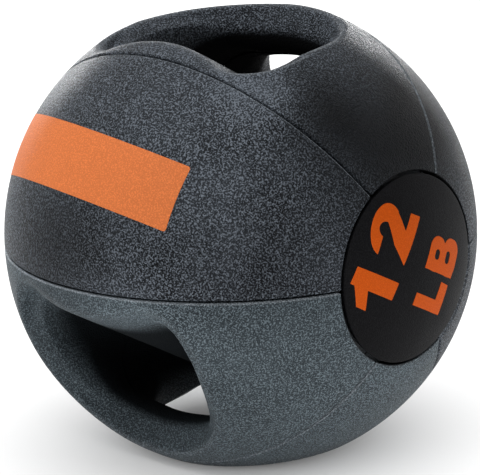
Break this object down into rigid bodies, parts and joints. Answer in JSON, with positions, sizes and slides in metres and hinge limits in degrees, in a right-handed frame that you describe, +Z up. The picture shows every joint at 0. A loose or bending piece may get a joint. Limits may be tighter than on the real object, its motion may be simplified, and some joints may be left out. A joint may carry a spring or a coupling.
{
  "type": "medicine ball",
  "caption": "Weighted rubber exercise ball with two straight hand channels, each bridged by a moulded grip bar, a label patch on the front gore and a round disc at each pole.",
  "frame": {"origin": "bottom centre of the bounding box, on the floor under the ball's centre", "axes": "+X out of the disc with the weight mark, -Y towards the label gore, which looks 29 degrees up, +Z up from the floor"},
  "size_m": [0.25, 0.25, 0.2264],
  "materials": {
    "rubber": "pebbled, satin",
    "disc": "fine grain, satin",
    "label": "matt",
    "core": "matt",
    "gasket": "matt",
    "sand": "loose grain",
    "rod": "plain drawn"
  },
  "bodies": {
    "root": {"label_panel": "rubber", "upper_front_panel": "rubber", "upper_rear_panel": "rubber", "rear_panel": "rubber", "lower_rear_panel": "rubber", "lower_front_panel": "rubber", "weight_disc": "disc", "plain_disc": "disc", "label_patch": "label", "front_core": "core", "rear_core": "core", "core_gasket": "gasket", "fill_plug": "gasket", "sand_fill": "sand", "upper_grip_rod": "rod", "lower_grip_rod": "rod"}
  },
  "joints": []
}
